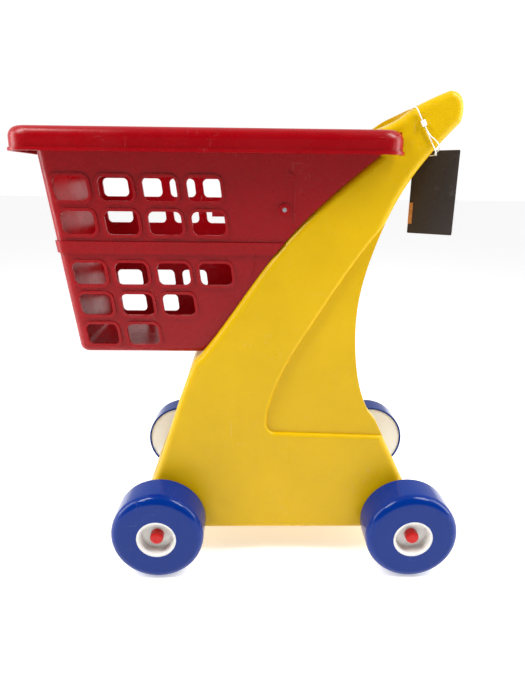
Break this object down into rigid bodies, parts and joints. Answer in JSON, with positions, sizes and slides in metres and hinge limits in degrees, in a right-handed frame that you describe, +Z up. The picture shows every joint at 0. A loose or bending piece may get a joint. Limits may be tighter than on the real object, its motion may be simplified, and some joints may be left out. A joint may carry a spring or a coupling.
{
  "type": "push cart",
  "caption": "Child's push cart: moulded body with handle grip and open shelf, slatted basket with a folding seat, and free-rolling wheels.",
  "frame": {"origin": "on the floor, under the middle of the bounding box", "axes": "+Z up, +X from the basket to the handle, +Y toward the right-hand side of someone pushing the cart by its handle; Y=0 is the plane of symmetry, apart from the swing tag"},
  "size_m": [0.546, 0.343, 0.603],
  "materials": {
    "body_yellow": "satin",
    "basket_red": "gloss",
    "wheel_blue": "gloss",
    "hub_white": "satin",
    "cap_red": "gloss",
    "steel": "satin",
    "nylon": "satin",
    "tag_card": "matte",
    "tag_tab": "matte"
  },
  "bodies": {
    "chassis": {"body": "body_yellow", "basket": "basket_red", "seat_rod": "steel", "basket_screws": "steel", "front_axle": "steel", "rear_axle": "steel", "front_left_cap": "cap_red", "front_right_cap": "cap_red", "rear_left_cap": "cap_red", "rear_right_cap": "cap_red", "tag_loop": "nylon", "tag_lock": "nylon", "tag_tail": "nylon", "tag": "tag_card", "tag_tab": "tag_tab", "tag_bead": "nylon"},
    "front_left_wheel": {"front_left_tyre": "wheel_blue", "front_left_hub": "hub_white"},
    "front_right_wheel": {"front_right_tyre": "wheel_blue", "front_right_hub": "hub_white"},
    "rear_left_wheel": {"rear_left_tyre": "wheel_blue", "rear_left_hub": "hub_white"},
    "rear_right_wheel": {"rear_right_tyre": "wheel_blue", "rear_right_hub": "hub_white"},
    "seat": {"seat_flap": "basket_red"}
  },
  "joints": [
    {"name": "front_left_spin", "type": "hinge", "parent": "chassis", "child": "front_left_wheel", "pos_m": [-0.119, -0.1475, 0.06], "axis": [0, 1, 0], "continuous": true},
    {"name": "front_right_spin", "type": "hinge", "parent": "chassis", "child": "front_right_wheel", "pos_m": [-0.119, 0.1475, 0.06], "axis": [0, 1, 0], "continuous": true},
    {"name": "rear_left_spin", "type": "hinge", "parent": "chassis", "child": "rear_left_wheel", "pos_m": [0.213, -0.1475, 0.06], "axis": [0, 1, 0], "continuous": true},
    {"name": "rear_right_spin", "type": "hinge", "parent": "chassis", "child": "rear_right_wheel", "pos_m": [0.213, 0.1475, 0.06], "axis": [0, 1, 0], "continuous": true},
    {"name": "seat_fold", "type": "hinge", "parent": "chassis", "child": "seat", "pos_m": [0.0405, 0, 0.47], "axis": [0, -1, 0], "range_deg": [0, 147]}
  ]
}
